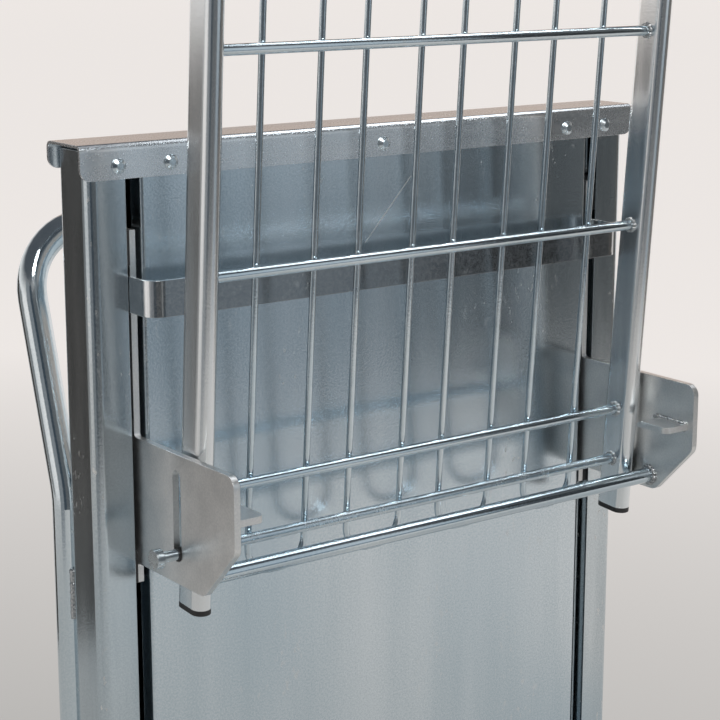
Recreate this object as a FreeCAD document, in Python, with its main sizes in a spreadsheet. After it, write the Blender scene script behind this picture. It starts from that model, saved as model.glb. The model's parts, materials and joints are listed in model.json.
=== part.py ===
import FreeCAD, Part
import math
import os
import re

import Sketcher
from FreeCAD import Placement, Rotation, Vector

# A lifting utility cart: a zinc-plated mast on a castor base, a carriage that
# runs in two slots of the mast, and a wire platform that folds up against it.
# Origin on the floor below the middle of the base, +Z up, front towards -Y.

# Driving sizes in millimetres, angles in degrees.
# A "drop" is measured down from the top of the mast, a "reach" forwards from
# the front face of the mast's panel.
SIZES = {
    # base
    "base_length": 760, "leg_height": 40, "tube_wall": 2, "tube_corner": 4,
    "cross_tube_depth": 30, "cross_tube_inset": 12,
    "plug_rim": 2, "plug_depth": 12, "plug_slack": 0.1,
    # mast
    "mast_height": 1120, "mast_setback": 140, "panel_width": 424, "panel_sheet": 1.5,
    "panel_return": 14, "panel_bend": 3, "panel_gap": 2, "slot_gap": 12,
    "post_width": 30, "post_depth": 44, "post_sheet": 2, "post_bend": 8,
    "cap_length": 520, "cap_sheet": 2, "cap_front_drop": 25, "cap_rear_drop": 20,
    "cap_bend": 5, "cap_corner": 8,
    "post_screw_inset": 6, "panel_screw_inset": 24, "screw_drop": 15.7, "rear_screw_drop": 12,
    "screw_head": 10.8, "screw_height": 2.7, "screw_rim": 0.9, "screw_edge": 5, "screw_end_gap": 120,
    "rear_panel_gap": 4,
    # push handle
    "handle_diameter": 22, "handle_wall": 2, "handle_inset": 5, "handle_top_drop": 73,
    "handle_lean": 17, "handle_knee_drop": 262, "handle_bend": 52, "handle_knee": 60,
    # carriage
    "carriage_drop": 62, "plate_sheet": 5, "upright_front": 3, "upright_back": 40,
    "upright_head": 150, "nose_height": 54, "toe_height": 41, "upright_foot": 15,
    "plate_reach": 128, "toe_setback": 40, "plate_corner": 9, "toe_corner": 10, "plate_notch": 3,
    "strap_height": 26, "strap_sheet": 3, "strap_inset": 32, "strap_reach": 30,
    "strap_bend": 12, "strap_tail": 18,
    "cross_rod_diameter": 12, "cross_rod_setback": 47, "cross_rod_rise": 11,
    "tab_width": 24, "tab_sheet": 5, "tab_setback": 6, "tab_clearance": 38.5,
    "tab_ramp": 7, "tab_corner": 6, "seat_gap": 0.5,
    "beam_front": 16, "beam_depth": 23, "beam_height": 28, "beam_sheet": 3, "beam_inset": 35,
    "shoe_height": 25, "shoe_gap": 0.5, "shoe_peg": 10,
    # gas springs inside the mast
    "spring_spread": 120, "spring_inset": 27.5, "cylinder_diameter": 22, "cylinder_wall": 2,
    "cylinder_length": 411, "cylinder_end": 6, "cylinder_guide": 10, "spring_foot": 6,
    "foot_diameter": 30, "rod_diameter": 10, "rod_gap": 0.4, "piston_height": 12,
    "piston_margin": 4, "nut_flats": 15, "nut_height": 8, "thread_end": 3,
    # folding platform
    "pin_setback": 74, "pin_rise": 22, "slot_travel": 56, "slot_width": 10.6,
    "rack_tube_width": 15, "rack_tube_depth": 30, "rack_tube_wall": 1.5, "rack_side_gap": 2.5,
    "rack_lean": 4.1, "rack_stub": 41, "rack_reach": 590, "rack_plug": 4,
    "rack_rod_diameter": 8, "first_rod": 43, "rack_rod_pitch": 154.5, "end_rod_step": 40,
    "wire_diameter": 5, "hairpin_width": 49.5, "hairpin_pitch": 88.25, "hairpin_foot": 31,
    "hairpin_bend": 20, "weld_gap": 0.05,
    "bush_diameter": 10, "bush_overhang": 1.2, "pivot_fit": 0.05, "pivot_stickout": 14,
    "pivot_head": 14, "pivot_head_height": 6,
    # castors
    "castor_height": 155, "front_castor_inset": 50, "rear_castor_inset": 118,
    "castor_trail": 38, "wheel_diameter": 125, "tyre_width": 34, "tyre_depth": 12.5,
    "tyre_shoulder": 7, "tyre_chamfer": 2, "tyre_seat": 2.5,
    "hub_width": 38, "hub_boss": 28, "hub_web": 12,
    "rim_width": 30, "rim_depth": 4, "rim_draft": 2, "axle_diameter": 10, "axle_head": 16,
    "axle_head_height": 6, "fork_gap": 42, "fork_sheet": 3, "fork_plate": 3.5, "fork_front": 30,
    "fork_rear": 71, "fork_side": 12, "fork_toe": 14, "fork_toe_drop": 12, "fork_corner": 9,
    "head_diameter": 66, "head_height": 12, "head_edge": 2, "king_diameter": 16, "king_flange": 26,
    "king_flange_height": 5, "king_play": 0.5, "castor_bolt": 12, "bolt_head": 19,
    "bolt_head_height": 8,
    # brake pedals
    "pedal_width": 34, "pedal_pivot_rear": 64, "pedal_pivot_height": 129, "pedal_pin": 6, "pedal_eye": 9,
    "pedal_sheet": 4.5, "pedal_length": 54, "pedal_fall": 7, "pedal_neck": 20, "pedal_lug": 10.4,
    "pedal_lug_front": 6, "pedal_lug_rear": 14, "pedal_heel": 6, "pedal_rise": 3.5, "pedal_lip": 1.5,
    # cuts run past the surface by this much
    "overrun": 5,
}

# The platform's evenly spaced cross rods and its bent wires.
RACK_RODS = 4
HAIRPINS = 4

# Places worked out from the driving sizes.
PLACES = {
    "leg_bottom": "castor_height",
    "leg_top": "castor_height + leg_height",
    "panel_half": "panel_width / 2",
    "post_in": "panel_half + slot_gap",
    "post_out": "post_in + post_width",
    "post_mid": "post_in + post_width / 2",
    "mast_front": "base_length / 2 - mast_setback",
    "mast_back": "mast_front + post_depth",
    "cap_under": "mast_height - cap_sheet",
    "panel_top": "mast_height - cap_bend",
    "handle_x": "post_out - handle_inset",
    "handle_y": "mast_back + handle_diameter / 2",
    "knee_height": "mast_height - handle_knee_drop",
    "handle_rise": "(handle_knee_drop - handle_top_drop) / cos(handle_lean * 1 deg)",
    "rear_half": "handle_x - handle_diameter / 2 - rear_panel_gap",
    "rear_top": "mast_height - cap_rear_drop - panel_gap",
    "plate_mid": "panel_half + slot_gap / 2",
    "plate_in": "plate_mid - plate_sheet / 2",
    "plate_out": "plate_mid + plate_sheet / 2",
    "strap_out": "plate_out + strap_sheet",
    "upright_top": "mast_height - carriage_drop",
    "plate_top": "upright_top - upright_head",
    "plate_bottom": "plate_top - nose_height - toe_height",
    "upright_bottom": "plate_bottom - upright_foot",
    "plate_nose": "mast_front - plate_reach",
    "pin_y": "plate_nose + pin_setback",
    "pin_z": "plate_bottom + pin_rise",
    "tab_top": "pin_z + slot_travel - rack_tube_depth / 2 - seat_gap",
    "tab_rear": "pin_y - tab_clearance",
    "beam_base": "upright_top - beam_inset - beam_height",
    "beam_y": "mast_front + beam_front",
    "spring_y": "mast_front + spring_inset",
    "cylinder_bottom": "leg_top + spring_foot",
    "cylinder_top": "cylinder_bottom + cylinder_length",
    "piston_top": "cylinder_top - cylinder_guide - piston_margin",
    "rod_top": "beam_base + beam_sheet + nut_height + thread_end",
    "rack_x": "plate_in - rack_side_gap - rack_tube_width / 2",
    "rack_inner": "rack_x - rack_tube_width / 2",
    "last_rod": f"first_rod + {RACK_RODS - 1} * rack_rod_pitch + end_rod_step",
    "wire_back": "rack_rod_diameter / 2 + wire_diameter / 2 + weld_gap",
    "wire_top": "last_rod + rack_rod_diameter / 2",
    "pivot_end": "plate_out + pivot_stickout",
    "front_castor_y": "front_castor_inset - base_length / 2",
    "rear_castor_y": "base_length / 2 - rear_castor_inset",
    "wheel_radius": "wheel_diameter / 2",
    "rim_radius": "wheel_radius - tyre_depth",
    "head_bottom": "castor_height - head_height",
    "fork_top": "head_bottom - king_play",
    "fork_half": "fork_gap / 2 + fork_sheet",
    "flange_top": "fork_top - fork_plate - king_play",
}

CASTORS = {
    "front_left": ("-post_mid", "front_castor_y"),
    "front_right": ("post_mid", "front_castor_y"),
    "rear_left": ("-post_mid", "rear_castor_y"),
    "rear_right": ("post_mid", "rear_castor_y"),
}
BRAKED = ("rear_left", "rear_right")
SIDES = {"left": -1, "right": 1}
LEG_ENDS = {"front": -1, "rear": 1}
TUBE_ENDS = {"lower": -1, "upper": 1}
WORD = re.compile(r"[a-z]+(?:_[a-z]+)+|overrun")
ALONG_X = Rotation(Vector(0, 1, 0), 90)
FACING_FRONT = Rotation(Vector(1, 0, 0), 90)
FACING_BACK = Rotation(Vector(1, 0, 0), -90)

doc = FreeCAD.newDocument("lifting_cart")
sheet = doc.addObject("Spreadsheet::Sheet", "sizes")
for row, (alias, size) in enumerate(SIZES.items(), start=1):
    sheet.set(f"A{row}", str(size))
    sheet.setAlias(f"A{row}", alias)
doc.recompute()

nodes = []


def formula(text):
    """The text with every named size as a cell and every place written out."""
    def spell(match):
        word = match.group(0)
        if word in SIZES:
            return f"sizes.{word}"
        return f"({formula(PLACES[word])})"
    return WORD.sub(spell, str(text))


def measure(text):
    """The number that a formula gives with the sheet's present sizes."""
    return float(sheet.evalExpression(formula(text)))


def bind(thing, **sizes):
    """Tie properties of an object to formulas."""
    for name, text in sizes.items():
        thing.setExpression(name, formula(text))


def place(thing, x="0", y="0", z="0", turn=Rotation()):
    """Set an object's placement from formulas."""
    thing.Placement = Placement(Vector(measure(x), measure(y), measure(z)), turn)
    for axis, text in zip("xyz", (x, y, z)):
        thing.setExpression(f"Placement.Base.{axis}", formula(text))


def keep(thing, label):
    """Hand in an object as a node of its own."""
    thing.Label = label
    nodes.append(thing)
    return thing


# Sketches

def new_body(name):
    return doc.addObject("PartDesign::Body", name)


def new_sketch(body, plane, offset="0"):
    """A sketch on one of the body's origin planes, moved along the plane's normal."""
    sketch = body.newObject("Sketcher::SketchObject", f"{body.Name}_sketch")
    role = f"{plane}_Plane"
    support = next(face for face in body.Origin.OriginFeatures if face.Role == role)
    sketch.AttachmentSupport = (support, [""])
    sketch.MapMode = "FlatFace"
    sketch.AttachmentOffset = Placement(Vector(0, 0, measure(offset)), Rotation())
    sketch.setExpression("AttachmentOffset.Base.z", formula(offset))
    return sketch


def dimension(sketch, kind, args, text):
    """Add a dimension to the sketch and tie it to a formula."""
    index = sketch.addConstraint(Sketcher.Constraint(kind, *args, measure(text)))
    sketch.setExpression(f"Constraints[{index}]", formula(text))


def anchor(sketch, geometry, end, spot):
    """Hold a point of the sketch at a spot given by two formulas."""
    for kind, axis, text in (("DistanceX", -2, spot[0]), ("DistanceY", -1, spot[1])):
        if text == "0":
            sketch.addConstraint(Sketcher.Constraint("PointOnObject", geometry, end, axis))
        else:
            dimension(sketch, kind, (-1, 1, geometry, end), text)


def circle(sketch, spot, radius):
    centre = Vector(measure(spot[0]), measure(spot[1]), 0)
    index = sketch.addGeometry(Part.Circle(centre, Vector(0, 0, 1), measure(radius)))
    anchor(sketch, index, 3, spot)
    dimension(sketch, "Radius", (index,), radius)


def corner_arc(before, corner, after, radius):
    """The arc that rounds a corner, its two ends, and whether it turns left."""
    back = (before - corner).normalize()
    ahead = (after - corner).normalize()
    half = back.getAngle(ahead) / 2
    start = corner + back * (radius / math.tan(half))
    end = corner + ahead * (radius / math.tan(half))
    centre = corner + (back + ahead).normalize() * (radius / math.sin(half))
    left = back.cross(ahead).z < 0
    first, last = (start, end) if left else (end, start)
    angles = [math.atan2(spot.y - centre.y, spot.x - centre.x) for spot in (first, last)]
    ring = Part.Circle(centre, Vector(0, 0, 1), radius)
    return Part.ArcOfCircle(ring, angles[0], angles[1]), start, end, left


def outline(sketch, spots, radii=None, closed=True):
    """Straight lines through the spots, with the corners in radii rounded."""
    radii = radii or {}
    points = [Vector(measure(x), measure(y), 0) for x, y in spots]
    count = len(points)
    starts, ends, arcs = list(points), list(points), {}
    for index, text in radii.items():
        before, after = points[index - 1], points[(index + 1) % count]
        arc, entry, leave, left = corner_arc(before, points[index], after, measure(text))
        starts[index], ends[index] = leave, entry
        arcs[index] = (arc, left)
    runs = range(count if closed else count - 1)
    lines = [sketch.addGeometry(Part.LineSegment(starts[run], ends[(run + 1) % count]))
             for run in runs]
    corners = range(count) if closed else range(1, count - 1)
    for index in corners:
        came, goes = lines[index - 1], lines[index]
        if index not in arcs:
            sketch.addConstraint(Sketcher.Constraint("Coincident", came, 2, goes, 1))
            anchor(sketch, goes, 1, spots[index])
            continue
        arc, left = arcs[index]
        bend = sketch.addGeometry(arc)
        tip = sketch.addGeometry(Part.Point(points[index]), True)
        first, last = (1, 2) if left else (2, 1)
        sketch.addConstraint(Sketcher.Constraint("Tangent", came, 2, bend, first))
        sketch.addConstraint(Sketcher.Constraint("Tangent", bend, last, goes, 1))
        sketch.addConstraint(Sketcher.Constraint("PointOnObject", tip, 1, came))
        sketch.addConstraint(Sketcher.Constraint("PointOnObject", tip, 1, goes))
        dimension(sketch, "Radius", (bend,), radii[index])
        anchor(sketch, tip, 1, spots[index])
    if not closed:
        anchor(sketch, lines[0], 1, spots[0])
        anchor(sketch, lines[-1], 2, spots[-1])


def rectangle(sketch, low, high, radius=None):
    spots = [low, (high[0], low[1]), high, (low[0], high[1])]
    outline(sketch, spots, dict.fromkeys(range(len(spots)), radius) if radius else None)


def oblong(sketch, first, second, radius):
    """Two half circles about the two centres, joined by straight sides."""
    low, high = (Vector(measure(x), measure(y), 0) for x, y in (first, second))
    reach = measure(radius)
    side = (high - low).normalize().cross(Vector(0, 0, 1)) * reach
    turn = math.atan2(side.y, side.x)
    arcs = []
    for centre, start in ((high, turn), (low, turn + math.pi)):
        ring = Part.Circle(centre, Vector(0, 0, 1), reach)
        arcs.append(sketch.addGeometry(Part.ArcOfCircle(ring, start, start + math.pi)))
    up = sketch.addGeometry(Part.LineSegment(low + side, high + side))
    down = sketch.addGeometry(Part.LineSegment(high - side, low - side))
    joints = ((up, 2, arcs[0], 1), (arcs[0], 2, down, 1), (down, 2, arcs[1], 1), (arcs[1], 2, up, 1))
    for joint in joints:
        sketch.addConstraint(Sketcher.Constraint("Tangent", *joint))
    sketch.addConstraint(Sketcher.Constraint("Equal", arcs[0], arcs[1]))
    dimension(sketch, "Radius", (arcs[0],), radius)
    anchor(sketch, arcs[0], 3, second)
    anchor(sketch, arcs[1], 3, first)


# Features

def pad(body, sketch, length, symmetric=False):
    feature = body.newObject("PartDesign::Pad", f"{body.Name}_pad")
    feature.Profile = sketch
    feature.SideType = "Symmetric" if symmetric else "One side"
    bind(feature, Length=length)
    return feature


def cut(body, sketch, length):
    """Cut a sketch through the body, the same way to both sides of the sketch."""
    feature = body.newObject("PartDesign::Pocket", f"{body.Name}_pocket")
    feature.Profile = sketch
    feature.SideType = "Symmetric"
    bind(feature, Length=length)
    return feature


def turned(name, spots, radii=None, axis="V_Axis"):
    """A body of revolution about the sketch's own axis."""
    body = new_body(name)
    sketch = new_sketch(body, "XZ" if axis == "V_Axis" else "XY")
    outline(sketch, spots, radii)
    feature = body.newObject("PartDesign::Revolution", f"{name}_turn")
    feature.Profile = sketch
    feature.ReferenceAxis = (sketch, [axis])
    feature.Angle = 360
    return body


def pipe(body, path, profile):
    """Sweep the profile along every edge of the path."""
    doc.recompute()
    feature = body.newObject("PartDesign::AdditivePipe", f"{body.Name}_pipe")
    feature.Profile = profile
    edges = [f"Edge{index + 1}" for index in range(len(path.Shape.Edges))]
    feature.Spine = (path, edges)
    return feature


def round_edges(body, feature, chosen, radius):
    """Round those edges of a feature that the test picks."""
    doc.recompute()
    edges = enumerate(feature.Shape.Edges, start=1)
    names = [f"Edge{index}" for index, edge in edges if chosen(edge)]
    rounding = body.newObject("PartDesign::Fillet", f"{body.Name}_fillet")
    rounding.Base = (feature, names)
    bind(rounding, Radius=radius)


def cylinder(name, radius, length, x="0", y="0", z="0", turn=Rotation()):
    thing = doc.addObject("Part::Cylinder", name)
    bind(thing, Radius=radius, Height=length)
    place(thing, x, y, z, turn)
    return thing


def hexagon(name, flats, height, x, y, z, turn=Rotation()):
    thing = doc.addObject("Part::Prism", name)
    thing.Polygon = 6
    bind(thing, Circumradius=f"{flats} / 2 / cos(30 deg)", Height=height)
    place(thing, x, y, z, turn)
    return thing


def block(name, low, high):
    """A plain block between two corners."""
    thing = doc.addObject("Part::Box", name)
    sides = [f"({end}) - ({start})" for start, end in zip(low, high)]
    bind(thing, Length=sides[0], Width=sides[1], Height=sides[2])
    place(thing, *low)
    return thing


def subtract(name, base, tool):
    thing = doc.addObject("Part::Cut", name)
    thing.Base = base
    thing.Tool = tool
    return thing


def join(name, first, second):
    thing = doc.addObject("Part::Fuse", name)
    thing.Base = first
    thing.Tool = second
    return thing


def group(label, things):
    """Several alike solids that share one node."""
    thing = doc.addObject("Part::Compound", label)
    thing.Links = things
    return keep(thing, label)


def mirror(source, label):
    """The right-hand twin of a left-hand piece."""
    thing = doc.addObject("Part::Mirroring", label)
    thing.Source = source
    thing.Normal = (1, 0, 0)
    return keep(thing, label)


def pair(body, name):
    """Keep a left-hand piece and its mirrored twin."""
    keep(body, f"left_{name}")
    mirror(body, f"right_{name}")


# Base frame: two legs, cross tubes and a sill that carries the mast

def hollow_tube(body, plane, low, high, length):
    """A rectangular tube with rounded corners, symmetric about the plane."""
    sketch = new_sketch(body, plane)
    rectangle(sketch, low, high, "tube_corner")
    inner_low = tuple(f"{text} + tube_wall" for text in low)
    inner_high = tuple(f"{text} - tube_wall" for text in high)
    rectangle(sketch, inner_low, inner_high, "tube_corner - tube_wall")
    return pad(body, sketch, length, symmetric=True)


def make_legs():
    body = new_body("left_leg")
    hollow_tube(body, "XZ", ("-post_out", "leg_bottom"), ("-post_in", "leg_top"), "base_length")
    holes = new_sketch(body, "XY", "leg_bottom + leg_height / 2")
    for castor_y in ("front_castor_y", "rear_castor_y"):
        circle(holes, ("-post_mid", castor_y), "castor_bolt / 2 + weld_gap")
    cut(body, holes, "leg_height + 2 * overrun")
    pair(body, "leg")


def make_cross_tube(name, low_y, high_y):
    body = new_body(name)
    hollow_tube(body, "YZ", (low_y, "leg_bottom"), (high_y, "leg_top"), "2 * post_in")
    keep(body, name)


def make_leg_plug(name, side, end):
    """A plastic plug: a rim that covers the tube's end and a shank inside it."""
    body = new_body(name)
    low_x, high_x = ("-post_out", "-post_in") if side < 0 else ("post_in", "post_out")
    face = f"{-end} * base_length / 2"
    rim = new_sketch(body, "XZ", face)
    rectangle(rim, (low_x, "leg_bottom"), (high_x, "leg_top"), "tube_corner")
    outer = pad(body, rim, "plug_rim")
    outer.Reversed = end > 0
    shank = new_sketch(body, "XZ", face)
    inset = "tube_wall + plug_slack"
    rectangle(shank, (f"{low_x} + {inset}", f"leg_bottom + {inset}"),
              (f"{high_x} - ({inset})", f"leg_top - ({inset})"), "tube_corner - tube_wall")
    inner = pad(body, shank, "plug_depth")
    inner.Reversed = end < 0
    return body


# Mast: two folded posts, front and rear panels, the cap and its screws

def make_posts():
    body = new_body("left_post")
    sketch = new_sketch(body, "XY", "leg_top")
    web = "post_sheet - post_out"
    spots = [("-post_in", "mast_front"), ("-post_out", "mast_front"),
             ("-post_out", "mast_back"), ("-post_in", "mast_back"),
             ("-post_in", "mast_back - post_sheet"), (web, "mast_back - post_sheet"),
             (web, "mast_front + post_sheet"), ("-post_in", "mast_front + post_sheet")]
    inside = "post_bend - post_sheet"
    outline(sketch, spots, {1: "post_bend", 2: "post_bend", 5: inside, 6: inside})
    pad(body, sketch, "panel_top - leg_top")
    pair(body, "post")


def make_panels():
    body = new_body("front_panel")
    sketch = new_sketch(body, "XY", "leg_top")
    edge, inner = "panel_half", "panel_half - panel_sheet"
    back, inside = "mast_front + panel_return", "mast_front + panel_sheet"
    spots = [(f"-{edge}", "mast_front"), (edge, "mast_front"), (edge, back), (inner, back),
             (inner, inside), (f"-({inner})", inside), (f"-({inner})", back), (f"-{edge}", back)]
    fold = "panel_bend - panel_sheet"
    outline(sketch, spots, {0: "panel_bend", 1: "panel_bend", 4: fold, 5: fold})
    pad(body, sketch, "panel_top - leg_top")
    keep(body, "front_panel")
    rear = block("rear_panel", ("-rear_half", "mast_back", "leg_top + panel_gap"),
                 ("rear_half", "mast_back + panel_sheet", "rear_top"))
    keep(rear, "rear_panel")


def make_cap():
    body = new_body("top_cap")
    sketch = new_sketch(body, "YZ")
    front, back = "mast_front - cap_sheet", "mast_back + cap_sheet"
    front_edge, rear_edge = "mast_height - cap_front_drop", "mast_height - cap_rear_drop"
    spots = [(front, front_edge), (front, "mast_height"), (back, "mast_height"), (back, rear_edge),
             ("mast_back", rear_edge), ("mast_back", "cap_under"),
             ("mast_front", "cap_under"), ("mast_front", front_edge)]
    fold = "cap_bend - cap_sheet"
    outline(sketch, spots, {1: "cap_bend", 2: "cap_bend", 5: fold, 6: fold})
    channel = pad(body, sketch, "cap_length", symmetric=True)
    half_length = measure("cap_length / 2")
    lower_edges = [measure(front_edge), measure(rear_edge)]

    def lower_corner(edge):
        """Whether an edge crosses the sheet at an end of one of the two lower edges."""
        middle = edge.CenterOfMass
        tangent = edge.tangentAt(edge.FirstParameter)
        at_end = abs(abs(middle.x) - half_length) < edge.Length
        crosswise = abs(tangent.y) > abs(tangent.x)
        drop = min(abs(middle.z - height) for height in lower_edges)
        return at_end and crosswise and drop < Part.Precision.approximation()

    round_edges(body, channel, lower_corner, "cap_corner")
    keep(body, "top_cap")


def make_screw(name, x, y, z, turn):
    """A low domed head; its axis points out of the sheet that it holds."""
    head, top = "screw_head / 2", "screw_height"
    spots = [("0", "0"), (head, "0"), (head, "screw_rim"), (f"{head} / 2", top), ("0", top)]
    body = turned(name, spots)
    place(body, x, y, z, turn)
    return body


def make_screws():
    screws = []
    front = "mast_front - cap_sheet"
    outer, inner = "post_in + post_screw_inset", "panel_half - panel_screw_inset"
    for index, x in enumerate((f"-({outer})", f"-({inner})", "0", inner, outer)):
        screws.append(make_screw(f"front_screw_{index}", x, front,
                                 "mast_height - screw_drop", FACING_FRONT))
    for index, x in enumerate((f"-({outer})", "0", outer)):
        screws.append(make_screw(f"rear_screw_{index}", x, "mast_back + cap_sheet",
                                 "mast_height - rear_screw_drop", FACING_BACK))
    low, high = "leg_top + screw_end_gap", "rear_top - screw_end_gap"
    for side, sign in SIDES.items():
        for row, height in enumerate((low, f"({low} + {high}) / 2", high)):
            screws.append(make_screw(f"{side}_panel_screw_{row}", f"{sign} * (rear_half - screw_edge)",
                                     "mast_back + panel_sheet", height, FACING_BACK))
    group("mast_screws", screws)


def ring_profile(body, offset, spot):
    """The section of the handle's tube."""
    profile = new_sketch(body, "XY", offset)
    for radius in ("handle_diameter / 2", "handle_diameter / 2 - handle_wall"):
        circle(profile, spot, radius)
    return profile


def make_handles():
    """The push handle's left half: a stem along the post and a bow leaned back from its knee."""
    stem = new_body("handle_stem")
    path = new_sketch(stem, "YZ", "-handle_x")
    spots = [("handle_y", "leg_top"), ("handle_y", "knee_height"),
             ("handle_y + handle_knee * sin(handle_lean * 1 deg)",
              "knee_height + handle_knee * cos(handle_lean * 1 deg)")]
    outline(path, spots, {1: "handle_knee"}, closed=False)
    pipe(stem, path, ring_profile(stem, "leg_top", ("-handle_x", "handle_y")))
    bow = new_body("handle_bow")
    path = new_sketch(bow, "XZ")
    spots = [("-handle_x", "handle_knee"), ("-handle_x", "handle_rise"), ("0", "handle_rise")]
    outline(path, spots, {1: "handle_bend"}, closed=False)
    pipe(bow, path, ring_profile(bow, "handle_knee", ("-handle_x", "0")))
    place(bow, "0", "handle_y", "knee_height", Rotation(Vector(-1, 0, 0), measure("handle_lean")))
    bow.setExpression("Placement.Rotation.Angle", formula("handle_lean * 1 deg"))
    pair(join("left_handle", stem, bow), "handle")


# Carriage: side plates, strap, rod, tabs, beam and guide shoes

def make_side_plates():
    body = new_body("left_side_plate")
    sketch = new_sketch(body, "YZ", "-plate_out")
    front, back = "mast_front + upright_front", "mast_front + upright_back"
    spots = [(back, "upright_top"), (front, "upright_top"),
             (front, "plate_top"), ("plate_nose", "plate_top"),
             ("plate_nose", "plate_top - nose_height"), ("plate_nose + toe_setback", "plate_bottom"),
             (front, "plate_bottom"), (front, "upright_bottom"), (back, "upright_bottom")]
    outline(sketch, spots, {2: "plate_notch", 3: "plate_corner", 4: "plate_corner",
                            5: "toe_corner", 6: "plate_notch"})
    oblong(sketch, ("pin_y", "pin_z"), ("pin_y", "pin_z + slot_travel"), "slot_width / 2")
    for height in ("upright_top - shoe_height / 2", "upright_bottom + shoe_height / 2"):
        circle(sketch, (f"({front} + {back}) / 2", height), "shoe_peg / 2 + weld_gap")
    pad(body, sketch, "plate_sheet")
    pair(body, "side_plate")


def make_strap():
    body = new_body("cross_strap")
    sketch = new_sketch(body, "XY", "upright_top - strap_inset - strap_height")
    front, tail = "mast_front - strap_reach", "mast_front + strap_tail"
    inside = f"{front} + strap_sheet"
    spots = [("-strap_out", front), ("strap_out", front), ("strap_out", tail), ("plate_out", tail),
             ("plate_out", inside), ("-plate_out", inside), ("-plate_out", tail), ("-strap_out", tail)]
    fold = "strap_bend - strap_sheet"
    outline(sketch, spots, {0: "strap_bend", 1: "strap_bend", 4: fold, 5: fold})
    pad(body, sketch, "strap_height")
    keep(body, "cross_strap")


def make_tabs():
    """The shelf that the lowered platform's tube rests on, ramped at its rear."""
    body = new_body("left_tab")
    sketch = new_sketch(body, "YZ", "-plate_in")
    low, nose = "tab_top - tab_sheet", "plate_nose + tab_setback"
    outline(sketch, [(nose, low), ("tab_rear + tab_ramp", low),
                     ("tab_rear", "tab_top"), (nose, "tab_top")])
    shelf = pad(body, sketch, "tab_width")
    corner = Vector(measure("tab_width - plate_in"), measure(nose), measure("tab_top - tab_sheet / 2"))

    def inner_front(edge):
        return edge.CenterOfMass.distanceToPoint(corner) < Part.Precision.approximation()

    round_edges(body, shelf, inner_front, "tab_corner")
    pair(body, "tab")


def make_beam():
    """The channel inside the mast that joins the two uprights."""
    body = new_body("carriage_beam")
    sketch = new_sketch(body, "YZ")
    front, back, top = "beam_y", "beam_y + beam_depth", "beam_base + beam_height"
    floor = "beam_base + beam_sheet"
    inner_front, inner_back = f"{front} + beam_sheet", f"{back} - beam_sheet"
    outline(sketch, [(front, "beam_base"), (back, "beam_base"), (back, top), (inner_back, top),
                     (inner_back, floor), (inner_front, floor), (inner_front, top), (front, top)])
    pad(body, sketch, "2 * plate_in", symmetric=True)
    holes = new_sketch(body, "XY", "beam_base")
    for x in ("-spring_spread", "spring_spread"):
        circle(holes, (x, "spring_y"), "rod_diameter / 2 + weld_gap")
    cut(body, holes, "2 * beam_sheet + 2 * overrun")
    keep(body, "carriage_beam")


def make_shoe(name, side, low):
    """A plastic block that fills the post's channel, pegged into the upright."""
    inner, outer = "plate_out", "post_out - post_bend"
    ends = (f"-({outer})", f"-{inner}") if side < 0 else (inner, outer)
    front, back = "mast_front + post_sheet + shoe_gap", "mast_back - post_sheet - shoe_gap"
    body = block(f"{name}_block", (ends[0], front, low), (ends[1], back, f"{low} + shoe_height"))
    start = "plate_in" if side > 0 else "-plate_out"
    middle = "mast_front + (upright_front + upright_back) / 2"
    peg = cylinder(f"{name}_peg", "shoe_peg / 2", "plate_sheet", start, middle,
                   f"{low} + shoe_height / 2", ALONG_X)
    return join(name, body, peg)


def make_carriage():
    make_side_plates()
    make_strap()
    make_tabs()
    make_beam()
    rod = cylinder("cross_rod", "cross_rod_diameter / 2", "2 * plate_in", "-plate_in",
                   "plate_nose + cross_rod_setback", "plate_bottom + cross_rod_rise", ALONG_X)
    keep(rod, "cross_rod")
    heights = ("upright_top - shoe_height", "upright_bottom")
    shoes = [make_shoe(f"{side}_shoe_{row}", SIDES[side], low)
             for side in SIDES for row, low in enumerate(heights)]
    group("guide_shoes", shoes)


# Gas springs that lift the carriage

def make_springs():
    wall, rod = "cylinder_diameter / 2", "rod_diameter / 2"
    bore = f"{wall} - cylinder_wall"
    guide = "cylinder_top - cylinder_guide"
    spots = [("0", "cylinder_bottom"), (wall, "cylinder_bottom"), (wall, "cylinder_top"),
             (f"{rod} + rod_gap", "cylinder_top"), (f"{rod} + rod_gap", guide), (bore, guide),
             (bore, "cylinder_bottom + cylinder_end"), ("0", "cylinder_bottom + cylinder_end")]
    barrel = turned("left_spring_cylinder", spots)
    place(barrel, "-spring_spread", "spring_y")
    pair(barrel, "spring_cylinder")
    piston = f"{bore} - rod_gap"
    spots = [("0", "piston_top - piston_height"), (piston, "piston_top - piston_height"),
             (piston, "piston_top"), (rod, "piston_top"), (rod, "rod_top"), ("0", "rod_top")]
    plunger = turned("left_spring_rod", spots)
    place(plunger, "-spring_spread", "spring_y")
    pair(plunger, "spring_rod")
    nuts, feet = [], []
    for side, x in (("left", "-spring_spread"), ("right", "spring_spread")):
        feet.append(cylinder(f"{side}_foot", "foot_diameter / 2", "spring_foot",
                             x, "spring_y", "leg_top"))
        for level, z in (("low", "beam_base - nut_height"), ("high", "beam_base + beam_sheet")):
            hexed = hexagon(f"{side}_{level}_hex", "nut_flats", "nut_height", x, "spring_y", z)
            hole = cylinder(f"{side}_{level}_hole", f"{rod} + weld_gap", "nut_height",
                            x, "spring_y", z)
            nuts.append(subtract(f"{side}_{level}_nut", hexed, hole))
    group("spring_feet", feet)
    group("spring_nuts", nuts)


# Folding platform, drawn upright about its pivot and then leaned forwards

def lean(body):
    """Stand a platform piece on the pivot and lean it towards the front."""
    place(body, "0", "pin_y", "pin_z", Rotation(Vector(1, 0, 0), measure("rack_lean")))
    body.setExpression("Placement.Rotation.Angle", formula("rack_lean * 1 deg"))
    return body


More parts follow.
